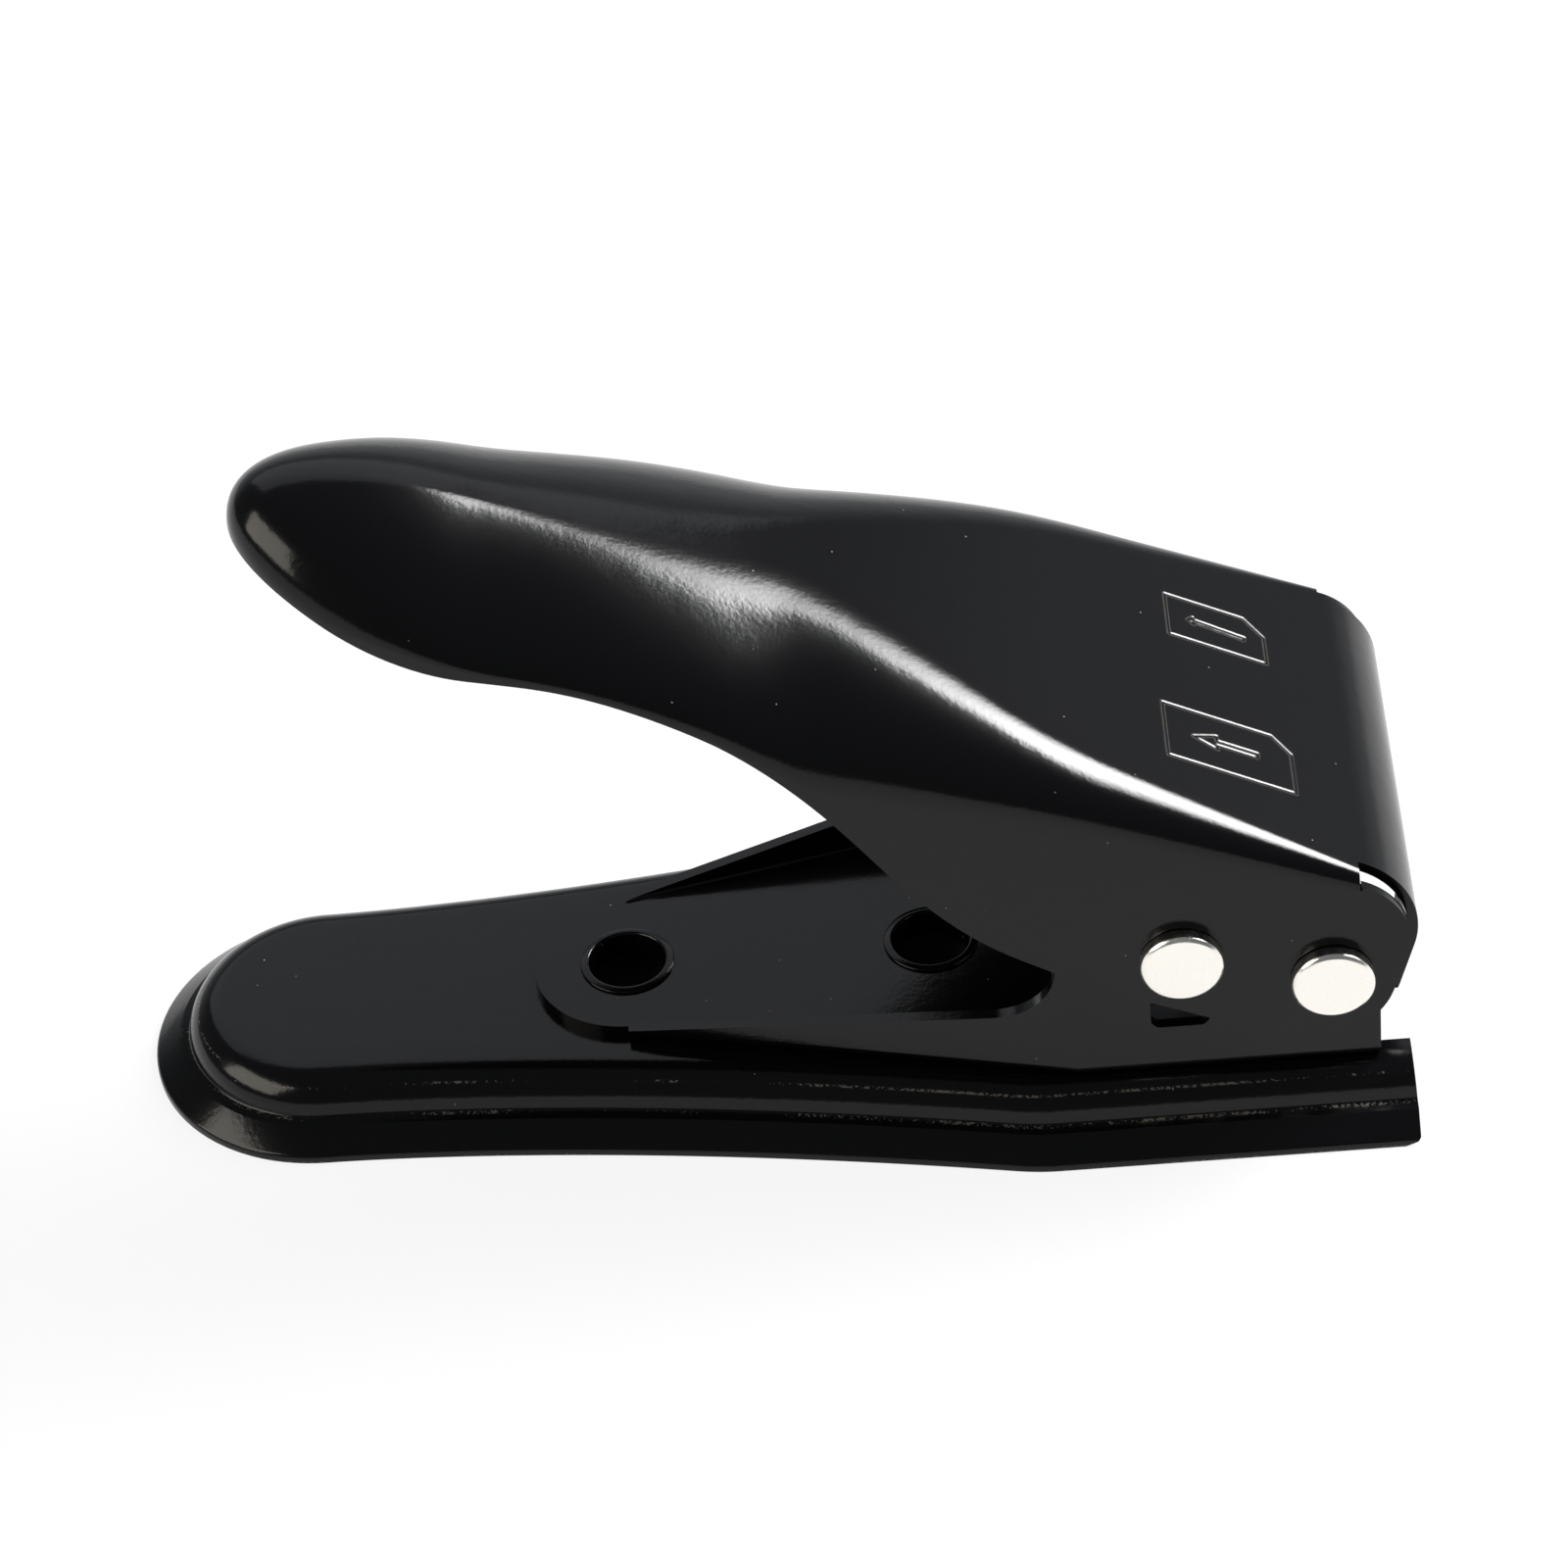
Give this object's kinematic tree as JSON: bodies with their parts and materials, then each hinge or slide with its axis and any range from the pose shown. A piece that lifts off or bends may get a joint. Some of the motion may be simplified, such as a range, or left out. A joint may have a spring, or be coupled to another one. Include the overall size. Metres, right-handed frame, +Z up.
{
  "type": "sim card cutter",
  "caption": "Stapler-style hand punch in black pressed steel: a raised thumb lever drives a punch carrier that trims SIM cards to micro and nano size.",
  "frame": {"origin": "on the table under the middle of the tool's overall length and width", "axes": "+X towards the card mouth at the rear, -X towards the thumb end, +Z up, tool symmetrical about Y = 0 outside"},
  "size_m": [0.1262, 0.0526, 0.0732],
  "materials": {
    "black_paint": "gloss black enamel",
    "nickel": "bright nickel plate, lightly scuffed",
    "steel": "ground steel"
  },
  "bodies": {
    "frame": {"base": "black_paint", "bracket": "black_paint", "front_eyelet": "black_paint", "rear_eyelet": "black_paint", "pivot_pin": "nickel", "pivot_washers": "steel", "die_plate": "steel", "left_rail": "steel", "centre_rail": "steel", "right_rail": "steel", "card_stop": "steel", "stripper_plate": "steel", "die_screws": "steel", "front_post": "steel", "rear_post": "steel", "front_spring": "nickel", "rear_spring": "nickel"},
    "lever": {"lever": "black_paint", "drive_pin": "nickel"},
    "carrier": {"punch_carrier": "steel", "micro_punch": "steel", "nano_punch": "steel", "punch_screws": "steel"}
  },
  "joints": [
    {"name": "lever_hinge", "type": "hinge", "parent": "frame", "child": "lever", "pos_m": [0.0548, 0, 0.0197], "axis": [0, -1, 0], "range_deg": [0, 28], "stiffness_Nm_per_rad": 1.2, "springref_deg": -20.05},
    {"name": "carrier_slide", "type": "slide", "parent": "frame", "child": "carrier", "axis": [0, 0, -1], "range_m": [0, 0.00725], "deforming": ["front_spring", "rear_spring"]}
  ],
  "couplings": [
    {"joint": "carrier_slide", "follows": "lever_hinge", "m_per_rad": 0.0148}
  ]
}
